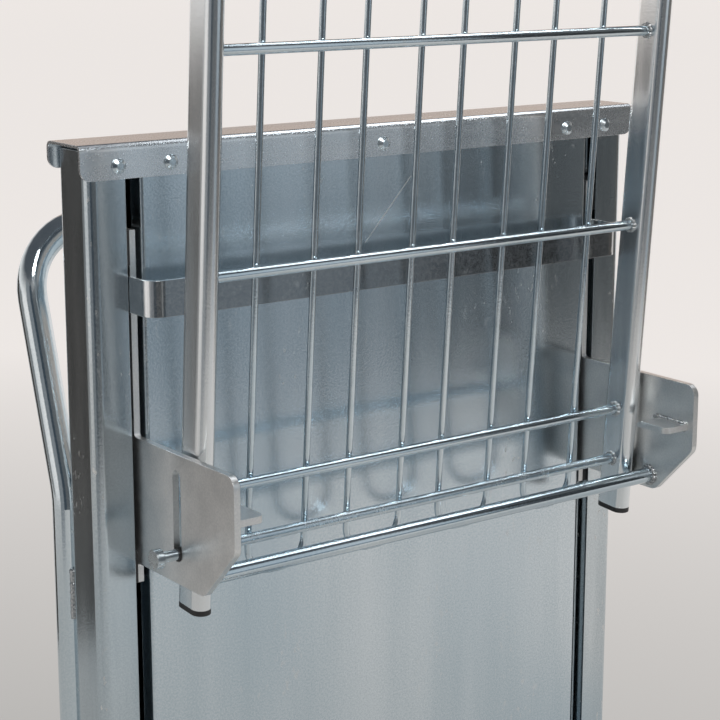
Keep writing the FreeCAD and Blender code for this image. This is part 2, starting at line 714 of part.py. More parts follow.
def flat_oval(sketch, x, shrink="0"):
    """The platform tube's section, drawn in by the given wall."""
    radius = f"rack_tube_width / 2 - {shrink}"
    half = "(rack_tube_depth - rack_tube_width) / 2"
    oblong(sketch, (x, f"-{half}"), (x, half), radius)


def make_rack_tubes():
    body = new_body("left_rack_tube")
    sketch = new_sketch(body, "XY", "-rack_stub")
    flat_oval(sketch, "-rack_x")
    flat_oval(sketch, "-rack_x", "rack_tube_wall")
    pad(body, sketch, "rack_stub + rack_reach")
    hole = new_sketch(body, "YZ", "-rack_x")
    circle(hole, ("0", "0"), "rack_rod_diameter / 2 + weld_gap")
    cut(body, hole, "rack_tube_width + 2 * overrun")
    lean(body)
    pair(body, "rack_tube")


def make_rack_plug(name, side, end):
    """A plug that closes one end of a platform tube."""
    body = new_body(name)
    x = "-rack_x" if side < 0 else "rack_x"
    face = "rack_reach" if end > 0 else "-rack_stub"
    rim = new_sketch(body, "XY", face)
    flat_oval(rim, x)
    outer = pad(body, rim, "rack_plug")
    outer.Reversed = end < 0
    shank = new_sketch(body, "XY", face)
    flat_oval(shank, x, "(rack_tube_wall + plug_slack)")
    inner = pad(body, shank, "plug_depth")
    inner.Reversed = end > 0
    return lean(body)


def make_hairpin(name, middle):
    """One wire bent to a long U, open at the top, behind the cross rods."""
    body = new_body(name)
    path = new_sketch(body, "XZ", "-wire_back")
    left, right = f"{middle} - hairpin_width / 2", f"{middle} + hairpin_width / 2"
    spots = [(left, "wire_top"), (left, "-hairpin_foot"), (right, "-hairpin_foot"), (right, "wire_top")]
    outline(path, spots, {1: "hairpin_bend", 2: "hairpin_bend"}, closed=False)
    profile = new_sketch(body, "XY", "wire_top")
    circle(profile, (left, "wire_back"), "wire_diameter / 2")
    pipe(body, path, profile)
    return lean(body)


def make_pivot():
    """The platform's lowest rod runs out through both slots and carries a head and a nut."""
    radius, far = "rack_rod_diameter / 2", "pivot_end + pivot_head_height"
    spots = [(f"-({far})", "0"), (f"-({far})", "pivot_head / 2"), ("-pivot_end", "pivot_head / 2"),
             ("-pivot_end", radius), (far, radius), (far, "0")]
    shaft = turned("pivot_rod", spots, axis="H_Axis")
    keep(lean(shaft), "pivot_rod")
    hexed = hexagon("pivot_hex", "pivot_head", "pivot_head_height",
                    "pivot_end", "pin_y", "pin_z", ALONG_X)
    hole = cylinder("pivot_hole", f"{radius} + weld_gap", "pivot_head_height",
                    "pivot_end", "pin_y", "pin_z", ALONG_X)
    keep(subtract("pivot_nut", hexed, hole), "pivot_nut")
    bushes = []
    length = "plate_sheet + 2 * bush_overhang"
    starts = {"left": "-plate_out - bush_overhang", "right": "plate_in - bush_overhang"}
    for side, start in starts.items():
        sleeve = cylinder(f"{side}_sleeve", "bush_diameter / 2", length,
                          start, "pin_y", "pin_z", ALONG_X)
        bore = cylinder(f"{side}_bore", f"{radius} + pivot_fit", length,
                        start, "pin_y", "pin_z", ALONG_X)
        bushes.append(subtract(f"{side}_bush", sleeve, bore))
    group("pivot_bushes", bushes)


def make_rack():
    make_rack_tubes()
    make_pivot()
    steps = [f"first_rod + {index} * rack_rod_pitch" for index in range(RACK_RODS)] + ["last_rod"]
    rods = []
    for index, step in enumerate(steps):
        rods.append(cylinder(f"rack_rod_{index}", "rack_rod_diameter / 2", "2 * rack_inner",
                             "-rack_inner", f"pin_y - ({step}) * sin(rack_lean * 1 deg)",
                             f"pin_z + ({step}) * cos(rack_lean * 1 deg)", ALONG_X))
    group("rack_cross_rods", rods)
    middles = [f"{index - (HAIRPINS - 1) / 2} * hairpin_pitch" for index in range(HAIRPINS)]
    group("rack_wires", [make_hairpin(f"hairpin_{index}", middle) for index, middle in enumerate(middles)])
    plugs = [make_rack_plug(f"{end}_{side}_rack_plug", SIDES[side], TUBE_ENDS[end])
             for side in SIDES for end in TUBE_ENDS]
    group("rack_plugs", plugs)


# Castors: a fixed head, a swivelling fork, an axle, a hub, a tyre and a brake

def make_castor_head(name, x, y):
    bore, king = "castor_bolt / 2 + weld_gap", "king_diameter / 2"
    low = "flange_top - king_flange_height"
    rim = "head_diameter / 2"
    spots = [(bore, "castor_height"), (rim, "castor_height"), (rim, "head_bottom + head_edge"),
             (f"{rim} - head_edge", "head_bottom"), (king, "head_bottom"), (king, "flange_top"),
             ("king_flange / 2", "flange_top"), ("king_flange / 2", low), (bore, low)]
    body = turned(name, spots)
    place(body, x, y)
    return body


def make_castor_bolt(name, x, y):
    low = "flange_top - king_flange_height"
    hexed = hexagon(f"{name}_hex", "bolt_head", "bolt_head_height", x, y, "leg_top")
    shank = cylinder(f"{name}_shank", "castor_bolt / 2", f"leg_top - ({low})", x, y, low)
    return join(name, hexed, shank)


def make_fork(name, x, y):
    body = new_body(f"{name}_fork")
    sketch = new_sketch(body, "YZ")
    toe_low = "wheel_radius - fork_toe_drop"
    eye = "pedal_pivot_height - pedal_eye"
    outline(sketch, [("-fork_front", "fork_top"), ("fork_rear", "fork_top"), ("fork_rear", eye),
                     ("castor_trail + fork_toe", toe_low), ("castor_trail - fork_toe", toe_low),
                     ("-fork_front", "fork_top - fork_side")],
            {2: "fork_corner / 2", 3: "fork_corner", 4: "fork_corner"})
    pad(body, sketch, "2 * fork_half", symmetric=True)
    hollow = new_sketch(body, "YZ")
    rectangle(hollow, ("-fork_front - overrun", f"{toe_low} - overrun"),
              ("fork_rear + overrun", "fork_top - fork_plate"))
    cut(body, hollow, "fork_gap")
    bores = new_sketch(body, "YZ")
    circle(bores, ("castor_trail", "wheel_radius"), "axle_diameter / 2 + weld_gap")
    if name in BRAKED:
        circle(bores, ("pedal_pivot_rear", "pedal_pivot_height"), "pedal_pin / 2 + pivot_fit")
    cut(body, bores, "2 * fork_half + 2 * overrun")
    king = new_sketch(body, "XY", "fork_top")
    circle(king, ("0", "0"), "king_diameter / 2 + pivot_fit")
    cut(body, king, "2 * fork_plate + 2 * overrun")
    place(body, x, y)
    keep(body, f"{name}_fork")


def make_wheel(name, x, y):
    """Axle, hub and tyre, turned about the wheel's own axis."""
    boss, rim, web = "hub_width / 2", "rim_width / 2", "hub_web / 2"
    bore, foot = "axle_diameter / 2 + pivot_fit", "rim_radius - rim_depth"
    spots = [(f"-{boss}", bore), (boss, bore), (boss, "hub_boss / 2"), (web, "hub_boss / 2 + rim_draft"),
             (web, f"{foot} - rim_draft"), (rim, foot), (rim, "rim_radius"), (f"-{rim}", "rim_radius"),
             (f"-{rim}", foot), (f"-{web}", f"{foot} - rim_draft"),
             (f"-{web}", "hub_boss / 2 + rim_draft"), (f"-{boss}", "hub_boss / 2")]
    hub = turned(f"{name}_hub", spots, axis="H_Axis")
    side = "tyre_width / 2"
    seat = "rim_radius + tyre_seat"
    half = [(rim, "rim_radius"), (side, seat), (side, "wheel_radius - tyre_shoulder"),
            (f"{side} - tyre_chamfer", "wheel_radius - tyre_chamfer"),
            (f"{side} - tyre_shoulder", "wheel_radius")]
    spots = half + [(f"-({x})", y) for x, y in reversed(half)]
    tyre = turned(f"{name}_tyre", spots, axis="H_Axis")
    end, shank = "fork_half + axle_head_height", "axle_diameter / 2"
    spots = [(f"-({end})", "0"), (f"-({end})", "axle_head / 2"), ("-fork_half", "axle_head / 2"),
             ("-fork_half", shank), ("fork_half", shank), ("fork_half", "axle_head / 2"),
             (end, "axle_head / 2"), (end, "0")]
    axle = turned(f"{name}_axle", spots, axis="H_Axis")
    for thing, label in ((hub, "hub"), (tyre, "tyre"), (axle, "axle")):
        place(thing, x, f"{y} + castor_trail", "wheel_radius")
        keep(thing, f"{name}_{label}")


def make_pedal(name, x, y):
    """A foot pedal whose lug swings down on the tyre; drawn about its pivot."""
    body = new_body(f"{name}_brake_pedal")
    sketch = new_sketch(body, "YZ")
    outline(sketch, [("-pedal_heel", "-pedal_rise"), ("-pedal_heel", "pedal_rise"),
                     ("pedal_neck", "pedal_rise"), ("pedal_length", "-pedal_fall"),
                     ("pedal_length - pedal_lip", "-pedal_fall - pedal_sheet"),
                     ("pedal_neck", "pedal_rise - pedal_sheet"), ("pedal_lug_rear", "-pedal_lug"),
                     ("pedal_lug_front", "-pedal_lug + pedal_rise")])
    pad(body, sketch, "pedal_width", symmetric=True)
    pin = new_sketch(body, "YZ")
    circle(pin, ("0", "0"), "pedal_pin / 2")
    pad(body, pin, "2 * fork_half", symmetric=True)
    place(body, x, f"{y} + pedal_pivot_rear", "pedal_pivot_height")
    keep(body, f"{name}_brake_pedal")


def make_castors():
    heads, bolts = [], []
    for name, (x, y) in CASTORS.items():
        heads.append(make_castor_head(f"{name}_head", x, y))
        bolts.append(make_castor_bolt(f"{name}_bolt", x, y))
        make_fork(name, x, y)
        make_wheel(name, x, y)
        if name in BRAKED:
            make_pedal(name, x, y)
    group("castor_heads", heads)
    group("castor_bolts", bolts)


def make_base():
    make_legs()
    front, rear = "cross_tube_inset - base_length / 2", "base_length / 2 - cross_tube_inset"
    make_cross_tube("front_cross_tube", front, f"{front} + cross_tube_depth")
    make_cross_tube("rear_cross_tube", f"{rear} - cross_tube_depth", rear)
    make_cross_tube("mast_sill", "mast_front", "mast_back")
    plugs = [make_leg_plug(f"{end}_{side}_leg_plug", SIDES[side], LEG_ENDS[end])
             for side in SIDES for end in LEG_ENDS]
    group("leg_plugs", plugs)


def check_model():
    """Stop if any object failed or any node is not a valid closed shape."""
    for thing in doc.Objects:
        if "Invalid" in thing.State or "Error" in thing.State:
            raise RuntimeError(f"{thing.Name} failed: {thing.State}")
    for thing in nodes:
        shape = thing.Shape
        if shape.isNull() or not shape.isValid() or not shape.Solids:
            raise RuntimeError(f"{thing.Label} has no valid solid")


def write_parts():
    os.makedirs("parts", exist_ok=True)
    for thing in nodes:
        thing.Shape.exportStep(f"parts/{thing.Label}.step")


make_base()
make_posts()
make_panels()
make_cap()
make_screws()
make_handles()
make_carriage()
make_springs()
make_rack()
make_castors()
doc.recompute()
check_model()
write_parts()
print(f"{len(nodes)} nodes, {sum(len(thing.Shape.Solids) for thing in nodes)} solids")
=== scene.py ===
import json
import math
import random

import bmesh
import bpy
from mathutils import Matrix, Vector


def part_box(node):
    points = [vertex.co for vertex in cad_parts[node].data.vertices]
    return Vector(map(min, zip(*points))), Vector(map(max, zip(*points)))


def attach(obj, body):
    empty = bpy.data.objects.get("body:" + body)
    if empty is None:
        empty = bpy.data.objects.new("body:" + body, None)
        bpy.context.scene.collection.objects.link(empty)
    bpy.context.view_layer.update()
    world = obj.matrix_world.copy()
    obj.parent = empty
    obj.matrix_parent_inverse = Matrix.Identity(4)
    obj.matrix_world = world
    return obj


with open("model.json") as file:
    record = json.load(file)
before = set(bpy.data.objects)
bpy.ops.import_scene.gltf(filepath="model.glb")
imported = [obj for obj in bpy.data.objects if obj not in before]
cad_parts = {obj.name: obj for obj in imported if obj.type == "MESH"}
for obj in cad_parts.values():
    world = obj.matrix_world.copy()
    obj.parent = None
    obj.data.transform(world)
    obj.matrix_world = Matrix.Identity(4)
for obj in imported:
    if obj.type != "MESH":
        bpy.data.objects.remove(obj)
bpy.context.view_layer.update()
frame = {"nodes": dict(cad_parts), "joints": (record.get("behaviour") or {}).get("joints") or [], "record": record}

nodes = frame["nodes"]
scene = bpy.context.scene
scene.view_settings.view_transform = "Standard"


# Shader helpers

def add(tree, kind, sockets=None, **settings):
    """A shader node; a socket takes a plain value or the output that feeds it."""
    node = tree.nodes.new(kind)
    for name, value in settings.items():
        setattr(node, name, value)
    for socket, value in (sockets or {}).items():
        join(tree, node.inputs[socket], value)
    return node


def join(tree, socket, value):
    """Set a socket to a plain value, or link it to an output."""
    if isinstance(value, bpy.types.NodeSocket):
        tree.links.new(value, socket)
    else:
        socket.default_value = value


def feed(tree, shader, **sockets):
    """Set or link inputs of the surface shader; a double underscore stands for a blank."""
    for name, value in sockets.items():
        join(tree, shader.inputs[name.replace("__", " ")], value)


def new_material(name):
    material = bpy.data.materials.new(name)
    material.use_nodes = True
    return material, material.node_tree, material.node_tree.nodes["Principled BSDF"]


def rgba(colour):
    return (*colour, 1.0)


def noise(tree, lumps, detail=2.0, turn=(0.0, 0.0, 0.0)):
    """Noise in the piece's own coordinates, with so many lumps to the metre along each axis."""
    coords = add(tree, "ShaderNodeTexCoord").outputs["Object"]
    mapped = add(tree, "ShaderNodeMapping", {"Vector": coords, "Scale": lumps, "Rotation": turn})
    texture = add(tree, "ShaderNodeTexNoise",
                  {"Vector": mapped.outputs[0], "Scale": 1.0, "Detail": detail})
    return texture.outputs[0]


def remap(tree, value, span, target=(0.0, 1.0)):
    """Stretch a span of values over a target span, and hold them at its ends."""
    node = add(tree, "ShaderNodeMapRange",
               {"Value": value, "From Min": span[0], "From Max": span[1],
                "To Min": target[0], "To Max": target[1]})
    return node.outputs[0]


def maths(tree, operation, first, second=0.0):
    return add(tree, "ShaderNodeMath", {0: first, 1: second}, operation=operation).outputs[0]


def blend(tree, factor, first, second):
    """The first colour where the factor is nought, the second where it is one."""
    node = add(tree, "ShaderNodeMix", {0: factor, 6: first, 7: second}, data_type="RGBA")
    return node.outputs[2]


# Zinc finish: lumps to the metre along X, Y and Z, and the span of the noise that shows
CLOUDS, TONE_SPAN = (7.0, 7.0, 5.0), (0.28, 0.72)
SPECKLE, SPECKLE_SPAN = (650.0, 650.0, 650.0), (0.35, 0.65)
CASTS, CASTS_SPAN, CASTS_TURN = (5.0, 5.0, 2.5), (0.42, 0.70), (0.0, 0.3, 0.4)
MARKS, MARKS_SPAN = (260.0, 260.0, 120.0), (0.62, 0.70)
PATCHES, PATCHES_SPAN = (18.0, 18.0, 9.0), (0.56, 0.66)
WEAR, WEAR_SPAN = (60.0, 60.0, 14.0), (0.42, 0.62)
STREAK_SHARE = 0.6
# How squarely a face looks ahead (for the painted shade on front faces), and how far a bend is turned between
# ahead and sideways
AHEAD_SPAN, BEND_SPAN = (-0.95, -0.40), (0.15, 0.40)
# Colours and surface of the marks
BLACK = (0.0, 0.0, 0.0)
BLUE_CAST = (0.33, 0.47, 0.57)
SCUFFED, SCUFF_ROUGHNESS = (0.84, 0.84, 0.82), 0.25
SCRATCHED, SCRATCH_ROUGHNESS, SCRATCH_STRENGTH = (0.95, 0.96, 0.96), 0.4, 0.75
GRAIN_RELIEF, GRAIN_DEPTH = 0.06, 0.0004
EDGE_RADIUS, EDGE_SAMPLES = 0.0006, 4


def zinc(name, light, dark, streaks, rough, blue=0.3, grain=0.3, scuff=0.3, front=1.0, worn=0.0):
    """Zinc plating: streaks, bluish clouds, a fine speckle and pale scuffs.

    Faces to the front can be darker, a painted shade, and bends between front and side can be worn.
    """
    material, tree, shader = new_material(name)
    speckle = noise(tree, SPECKLE, detail=1.0)
    tone = maths(tree, "ADD", maths(tree, "MULTIPLY", noise(tree, streaks, detail=3.0), STREAK_SHARE),
                 maths(tree, "MULTIPLY", noise(tree, CLOUDS), 1.0 - STREAK_SHARE))
    tone = maths(tree, "ADD", remap(tree, tone, TONE_SPAN),
                 remap(tree, speckle, SPECKLE_SPAN, (-grain / 2, grain / 2)))
    colour = blend(tree, tone, rgba(dark), rgba(light))
    cast = remap(tree, noise(tree, CASTS, detail=1.0, turn=CASTS_TURN), CASTS_SPAN, (0.0, blue))
    colour = blend(tree, cast, colour, rgba(BLUE_CAST))

    # Painted shade: faces that look ahead are blended towards black, down to the share given by front
    normal = add(tree, "ShaderNodeNewGeometry").outputs["True Normal"]
    facing = add(tree, "ShaderNodeSeparateXYZ", {0: normal}).outputs
    shade = remap(tree, facing["Y"], AHEAD_SPAN, (front, 1.0))
    colour = blend(tree, shade, rgba(BLACK), colour)

    across = maths(tree, "ABSOLUTE", maths(tree, "MULTIPLY", facing["X"], facing["Y"]))
    bends = maths(tree, "MULTIPLY", remap(tree, across, BEND_SPAN, (0.0, worn)),
                  remap(tree, noise(tree, WEAR, detail=3.0), WEAR_SPAN))
    patches = remap(tree, noise(tree, PATCHES), PATCHES_SPAN, (0.0, scuff))
    marks = remap(tree, noise(tree, MARKS), MARKS_SPAN)
    scuffs = maths(tree, "MULTIPLY", marks, maths(tree, "ADD", patches, bends))
    scuffs = maths(tree, "MINIMUM", scuffs, 1.0)
    colour = blend(tree, scuffs, colour, rgba(SCUFFED))

    roughness = maths(tree, "ADD", remap(tree, tone, (0.0, 1.0), rough),
                      maths(tree, "MULTIPLY", scuffs, SCUFF_ROUGHNESS))
    relief = add(tree, "ShaderNodeBump",
                 {"Height": speckle, "Strength": GRAIN_RELIEF, "Distance": GRAIN_DEPTH})
    rounded = add(tree, "ShaderNodeBevel", {"Radius": EDGE_RADIUS, "Normal": relief.outputs[0]},
                  samples=EDGE_SAMPLES)
    feed(tree, shader, Base__Color=colour, Metallic=1.0, Roughness=roughness, Normal=rounded.outputs[0])
    return material


def scratch(material, start, end, width):
    """One long fine scratch across a piece's front."""
    tree, shader = material.node_tree, material.node_tree.nodes["Principled BSDF"]
    line = Vector(end) - Vector(start)
    coords = add(tree, "ShaderNodeTexCoord").outputs["Object"]
    turn = (0.0, -math.atan2(line.z, line.x), 0.0)
    local = add(tree, "ShaderNodeMapping", {"Vector": coords, "Location": start, "Rotation": turn},
                vector_type="TEXTURE")
    place = add(tree, "ShaderNodeSeparateXYZ", {0: local.outputs[0]}).outputs
    beside = maths(tree, "LESS_THAN", maths(tree, "ABSOLUTE", place["Z"]), width / 2)
    within = maths(tree, "MULTIPLY", maths(tree, "GREATER_THAN", place["X"], 0.0),
                   maths(tree, "LESS_THAN", place["X"], line.length))
    mark = maths(tree, "MULTIPLY", maths(tree, "MULTIPLY", beside, within), SCRATCH_STRENGTH)
    plain = shader.inputs["Base Color"].links[0].from_socket
    rough = shader.inputs["Roughness"].links[0].from_socket
    feed(tree, shader, Base__Color=blend(tree, mark, plain, rgba(SCRATCHED)),
         Roughness=maths(tree, "ADD", rough, maths(tree, "MULTIPLY", mark, SCRATCH_ROUGHNESS)))


# Plastic, rubber and lacquer

TINTS, TINTS_SPAN = (30.0, 30.0, 30.0), (0.3, 0.7)
MOULD_DEPTH = 0.0003


def moulded(name, light, dark, rough, grain=900.0, relief=0.1):
    """Plastic or rubber with a fine grain and slightly uneven colour."""
    material, tree, shader = new_material(name)
    tint = noise(tree, TINTS, detail=4.0)
    fine = noise(tree, (grain, grain, grain))
    bump = add(tree, "ShaderNodeBump", {"Height": fine, "Strength": relief, "Distance": MOULD_DEPTH})
    feed(tree, shader, Base__Color=blend(tree, tint, rgba(dark), rgba(light)),
         Roughness=remap(tree, tint, TINTS_SPAN, rough), Normal=bump.outputs[0])
    return material


# Looks by material slot, and by piece where a piece differs from its slot: light and dark tone,
# lumps of the streaks to the metre, least and most roughness

SHEET = ((0.75, 0.82, 0.865), (0.57, 0.66, 0.715))
PLATE = ((0.90, 0.90, 0.89), (0.75, 0.76, 0.76))
BRIGHT = ((0.78, 0.85, 0.89), (0.58, 0.67, 0.725))
CHROME = ((0.78, 0.79, 0.80), (0.68, 0.69, 0.70))
STRIP = ((0.93, 0.96, 0.98), (0.84, 0.88, 0.91))
FOLDED = ((0.93, 0.95, 0.97), (0.78, 0.82, 0.85))
OVAL = ((0.97, 0.98, 0.98), (0.82, 0.86, 0.885))
HANDLED = ((0.76, 0.82, 0.85), (0.46, 0.52, 0.555))
BEAD_METAL = ((0.60, 0.62, 0.63), (0.34, 0.35, 0.36))

LOOKS = {
    "zinc_sheet": zinc("zinc_sheet", *SHEET, (30.0, 30.0, 2.5), (0.13, 0.20), blue=0.4, grain=0.7),
    "zinc_tube": zinc("zinc_tube", *BRIGHT, (60.0, 60.0, 3.0), (0.07, 0.14), blue=0.35),
    "zinc_plate": zinc("zinc_plate", *PLATE, (60.0, 60.0, 45.0), (0.30, 0.44),
                       blue=0.15, grain=0.5, scuff=0.5),
    "zinc_rod": zinc("zinc_rod", *BRIGHT, (12.0, 60.0, 60.0), (0.09, 0.16), blue=0.4),
    "zinc_hardware": zinc("zinc_hardware", *BRIGHT, (60.0, 60.0, 60.0), (0.18, 0.30)),
    "polished_rod": zinc("polished_rod", *CHROME, (60.0, 60.0, 10.0), (0.06, 0.12),
                         blue=0.1, grain=0.1, scuff=0.0),
    "black_plastic": moulded("black_plastic", (0.030, 0.030, 0.031), (0.014, 0.014, 0.015),
                             (0.42, 0.58)),
    "black_paint": moulded("black_paint", (0.022, 0.022, 0.024), (0.012, 0.012, 0.013),
                           (0.22, 0.34), grain=400.0, relief=0.05),
    "grey_plastic": moulded("grey_plastic", (0.19, 0.20, 0.21), (0.13, 0.14, 0.15), (0.40, 0.55)),
    "grey_rubber": moulded("grey_rubber", (0.30, 0.30, 0.29), (0.21, 0.21, 0.21), (0.62, 0.78)),
    "red_plastic": moulded("red_plastic", (0.52, 0.030, 0.022), (0.38, 0.018, 0.014), (0.34, 0.48)),
}
ALONG_Y = zinc("zinc_tube_lengthwise", *BRIGHT, (60.0, 3.0, 60.0), (0.12, 0.20), blue=0.35)
ALONG_X = zinc("zinc_tube_crosswise", *BRIGHT, (3.0, 60.0, 60.0), (0.12, 0.20), blue=0.35)
# The strap and the carriage beam carry a painted shade: their faces that look ahead are darkened to 0.47 of their
# tone
STRAP = zinc("zinc_strap", *STRIP, (3.0, 50.0, 50.0), (0.14, 0.22),
             blue=0.1, grain=0.8, scuff=0.4, front=0.47, worn=0.8)
CAP = zinc("zinc_cap", *FOLDED, (12.0, 60.0, 60.0), (0.22, 0.31), grain=0.4)
RACK = zinc("zinc_rack_tube", *OVAL, (110.0, 110.0, 4.0), (0.15, 0.26), grain=0.12, scuff=0.4)
POST = zinc("zinc_post", *HANDLED, (45.0, 45.0, 5.0), (0.15, 0.22), blue=0.8, scuff=0.7, worn=1.2)
PANEL = zinc("zinc_panel", *SHEET, (30.0, 30.0, 2.5), (0.19, 0.22), blue=0.4, grain=0.7)
WELD = zinc("zinc_weld", *BEAD_METAL, (220.0, 220.0, 220.0), (0.22, 0.42), blue=0.15)
OWN_LOOKS = {
    "front_panel": PANEL, "top_cap": CAP, "left_post": POST, "right_post": POST,
    "left_leg": ALONG_Y, "right_leg": ALONG_Y,
    "front_cross_tube": ALONG_X, "rear_cross_tube": ALONG_X, "mast_sill": ALONG_X,
    "cross_strap": STRAP, "carriage_beam": STRAP,
    "left_rack_tube": RACK, "right_rack_tube": RACK,
}

# Ends of the scratch, as shares of the front panel's width and height
SCRATCH_SHARES = ((0.462, 0.907), (0.566, 0.959))
SCRATCH_WIDTH = 0.0006
panel_low, panel_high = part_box("front_panel")
panel_size = panel_high - panel_low
scratch_ends = [(panel_low.x + across * panel_size.x, panel_low.y, panel_low.z + up * panel_size.z)
                for across, up in SCRATCH_SHARES]
scratch(PANEL, *scratch_ends, SCRATCH_WIDTH)

for entry in frame["record"]["subparts"]:
    name = entry["node"]
    mesh = nodes[name].data
    mesh.materials.clear()
    mesh.materials.append(OWN_LOOKS.get(name, LOOKS[entry["material_slot"]]))


# Weld beads

TOUCH = 0.0005
ROD_GAP = 0.010
FINE_BEAD, BEAD, THICK_BEAD = 0.0020, 0.0023, 0.0030
ROD_BLOBS, THICK_ROD_BLOBS, TAB_BLOBS, STEM_BLOBS = 9, 13, 12, 11
STEM_SEAM_RISE, STEM_SEAM_LENGTH = 0.003, 0.035
UNEVEN_STEP = 0.3
UNEVEN_SIZE = (-0.16, 0.10)
chance = random.Random(4)


def rod_ends(name):
    """The middle of the left end of each rod in a node, from the lowest rod up."""
    corners = [vertex.co for vertex in nodes[name].data.vertices]
    left = min(corner.x for corner in corners)
    rims = sorted((corner for corner in corners if corner.x < left + TOUCH), key=lambda corner: corner.z)
    groups = [[rims[0]]]
    for before, corner in zip(rims, rims[1:]):
        if corner.z - before.z > ROD_GAP:
            groups.append([])
        groups[-1].append(corner)
    return [sum(group, Vector()) / len(group) for group in groups]


def ring(centre, radius, count):
    """Spots on a circle round a rod that runs along X."""
    axis = Vector((1, 0, 0))
    across = axis.orthogonal().normalized()
    spots = []
    for step in range(count):
        angle = 2 * math.pi * (step + UNEVEN_STEP * chance.random()) / count
        spots.append(Vector(centre) + Matrix.Rotation(angle, 3, axis) @ across * radius)
    return spots


def row(start, end, count):
    """Spots along a line."""
    return [Vector(start).lerp(Vector(end), (step + UNEVEN_STEP * chance.random()) / count)
            for step in range(count + 1)]


def welds(name, body, seams):
    """Lumpy beads, one small blob of metal overlapping the next."""
    shape = bmesh.new()
    for spots, size in seams:
        for spot in spots:
            blob = bmesh.ops.create_icosphere(shape, subdivisions=2, radius=size,
                                              matrix=Matrix.Translation(spot))
            for vertex in blob["verts"]:
                vertex.co += (vertex.co - spot) * chance.uniform(*UNEVEN_SIZE)
    for face in shape.faces:
        face.smooth = True
    mesh = bpy.data.meshes.new(name)
    shape.to_mesh(mesh)
    shape.free()
    mesh.materials.append(WELD)
    thing = bpy.data.objects.new(name, mesh)
    scene.collection.objects.link(thing)
    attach(thing, body)


tube_low, tube_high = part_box("left_rack_tube")
rod_low, rod_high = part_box("cross_rod")
tab_low, tab_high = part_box("left_tab")
post_low, post_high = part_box("left_post")
pivot = next(joint for joint in frame["joints"] if joint["name"] == "rack_fold")["pos_m"]
rack_rods = rod_ends("rack_cross_rods")
rack_rod_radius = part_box("rack_cross_rods")[1].z - rack_rods[-1].z
thick_rod_radius = (rod_high.z - rod_low.z) / 2
stem_seam_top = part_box("left_side_plate")[0].z + STEM_SEAM_RISE
rack_seams, carriage_seams, mast_seams = [], [], []
for side in (1, -1):
    for spot in [Vector(pivot)] + rack_rods:
        end = (side * tube_high.x, spot.y, spot.z)
        rack_seams.append((ring(end, rack_rod_radius + TOUCH, ROD_BLOBS), FINE_BEAD))
    end = (side * (rod_low.x + 2 * TOUCH), (rod_low.y + rod_high.y) / 2, (rod_low.z + rod_high.z) / 2)
    carriage_seams.append((ring(end, thick_rod_radius + TOUCH, THICK_ROD_BLOBS), BEAD))
    tab_root = side * (tab_low.x + 2 * TOUCH)
    for height in (tab_low.z, tab_high.z):
        start = (tab_root, tab_low.y + 4 * TOUCH, height)
        end = (tab_root, tab_high.y - 4 * TOUCH, height)
        carriage_seams.append((row(start, end, TAB_BLOBS), FINE_BEAD))
    start = (side * (post_low.x + 4 * TOUCH), post_high.y - TOUCH, stem_seam_top - STEM_SEAM_LENGTH)
    end = (*start[:2], stem_seam_top)
    mast_seams.append((row(start, end, STEM_BLOBS), THICK_BEAD))
welds("rack_welds", "rack", rack_seams)
welds("carriage_welds", "carriage", carriage_seams)
welds("mast_welds", "frame", mast_seams)


# Floor: pale paper with a painted shadow, a dimmer pool to the cart's left, that meets the sky far away

FLOOR_HALF = 60.0
PAINTED_SHADOW_SPOT = (-0.9, 0.2, 0.0)
PAINTED_SHADOW_EDGE, HORIZON_EDGE = (1.8, 4.8), (20.0, 58.0)
PAINTED_SHADOW_COLOUR, PAPER, HORIZON = (0.50, 0.49, 0.475), (0.95, 0.905, 0.875), (1.0, 0.94, 0.90)
GLOW, GLOW_SHARE = 1.15, 0.7


def floor_material():
    """What the eye and the metal see is mostly the paper's own colour, plus the shadow."""
    material, tree, shader = new_material("floor")
    coords = add(tree, "ShaderNodeTexCoord").outputs["Object"]
    away = add(tree, "ShaderNodeVectorMath", {0: coords, 1: PAINTED_SHADOW_SPOT}, operation="DISTANCE").outputs["Value"]
    # Painted shadow: the paper fades to the shadow colour near its spot, and glows with that colour too
    colour = blend(tree, remap(tree, away, PAINTED_SHADOW_EDGE), rgba(PAINTED_SHADOW_COLOUR), rgba(PAPER))
    colour = blend(tree, remap(tree, away, HORIZON_EDGE), colour, rgba(HORIZON))
    feed(tree, shader, Base__Color=colour, Roughness=0.9, Specular__IOR__Level=0.1)
    glow = add(tree, "ShaderNodeEmission", {"Color": colour, "Strength": GLOW})
    path = add(tree, "ShaderNodeLightPath").outputs
    seen = maths(tree, "ADD", path["Is Camera Ray"], path["Is Glossy Ray"])
    seen = maths(tree, "MINIMUM", maths(tree, "ADD", seen, path["Is Transmission Ray"]), 1.0)
    share = maths(tree, "MULTIPLY", seen, GLOW_SHARE)
    mixed = add(tree, "ShaderNodeMixShader", {0: share, 1: shader.outputs[0], 2: glow.outputs[0]})
    tree.links.new(mixed.outputs[0], tree.nodes["Material Output"].inputs["Surface"])
    return material


def flat(name, corners, material):
    """A thing of one four-cornered face."""
    mesh = bpy.data.meshes.new(name)
    mesh.from_pydata(corners, [], [(0, 1, 2, 3)])
    mesh.materials.append(material)
    thing = bpy.data.objects.new(name, mesh)
    scene.collection.objects.link(thing)
    return thing


floor_corners = [(FLOOR_HALF * x, FLOOR_HALF * y, 0.0) for x, y in ((-1, -1), (1, -1), (1, 1), (-1, 1))]
floor = flat("floor", floor_corners, floor_material())


# Sky: pale near the horizon and dark above

